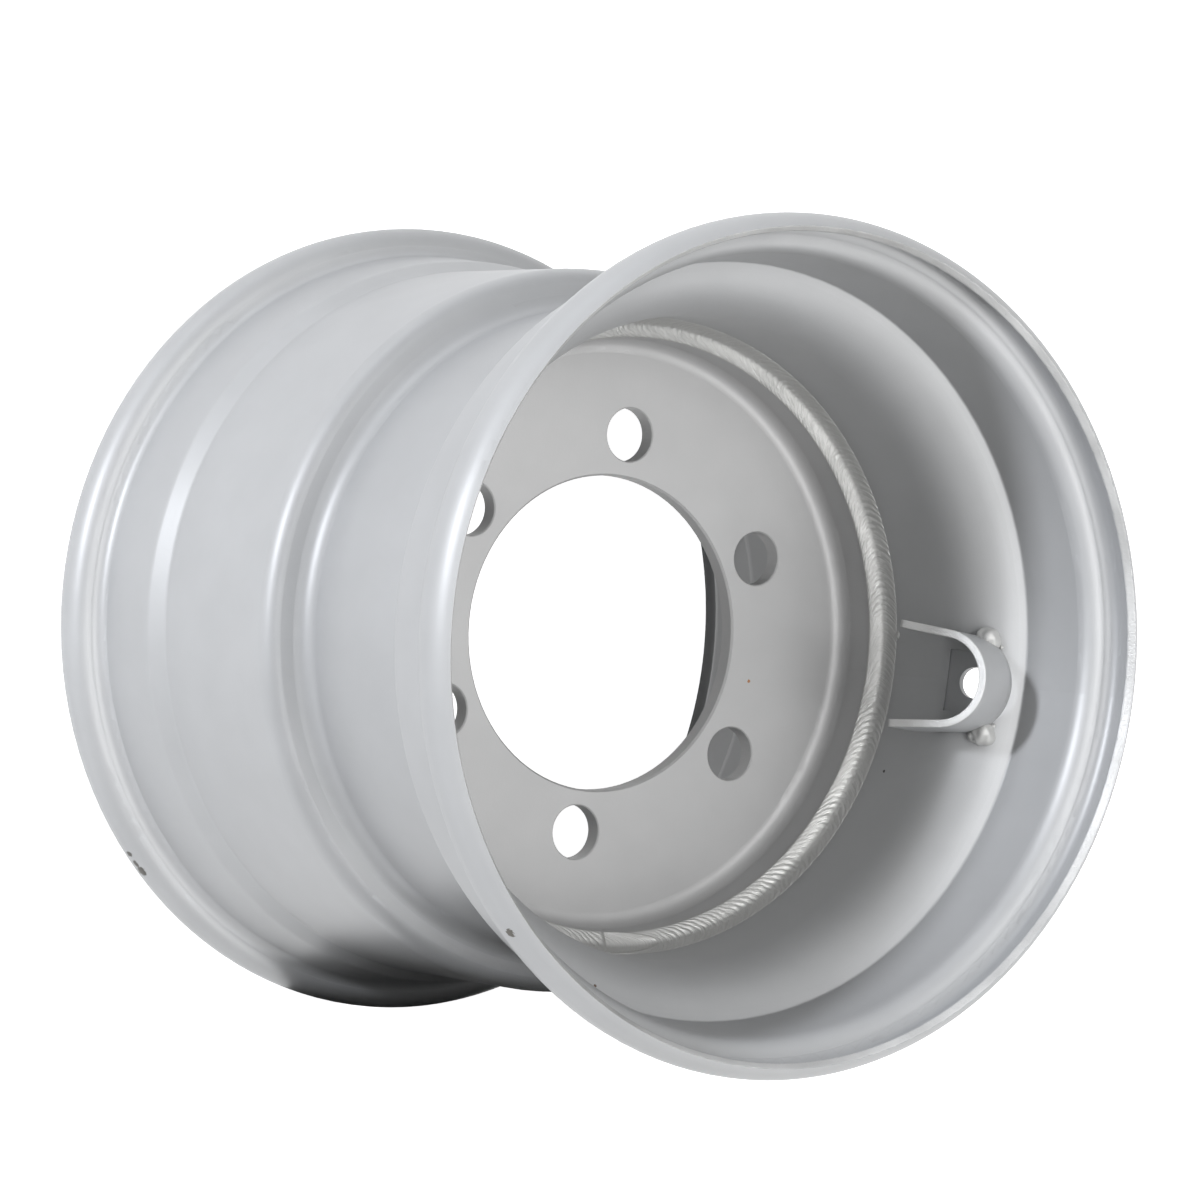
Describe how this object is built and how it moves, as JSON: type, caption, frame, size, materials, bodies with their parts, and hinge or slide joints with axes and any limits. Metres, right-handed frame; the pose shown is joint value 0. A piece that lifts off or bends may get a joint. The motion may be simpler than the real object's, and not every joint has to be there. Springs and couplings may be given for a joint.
{
  "type": "steel implement rim",
  "caption": "Painted steel drop-centre rim for an implement tyre, with a welded bolt-on disc and a strap guard round the valve hole.",
  "frame": {"origin": "on the axle axis, in the plane of the rear flange's edge, on which the rim stands", "axes": "+Z along the axle axis towards the outer side, which has the valve; +X from the axis towards the valve hole"},
  "size_m": [0.4208, 0.4206, 0.38],
  "materials": {
    "rim_paint": "satin",
    "weld_paint": "satin"
  },
  "bodies": {
    "root": {"rim_band": "rim_paint", "centre_disc": "rim_paint", "disc_weld": "weld_paint", "valve_guard": "rim_paint", "guard_weld_upper": "weld_paint", "guard_weld_lower": "weld_paint"}
  },
  "joints": []
}
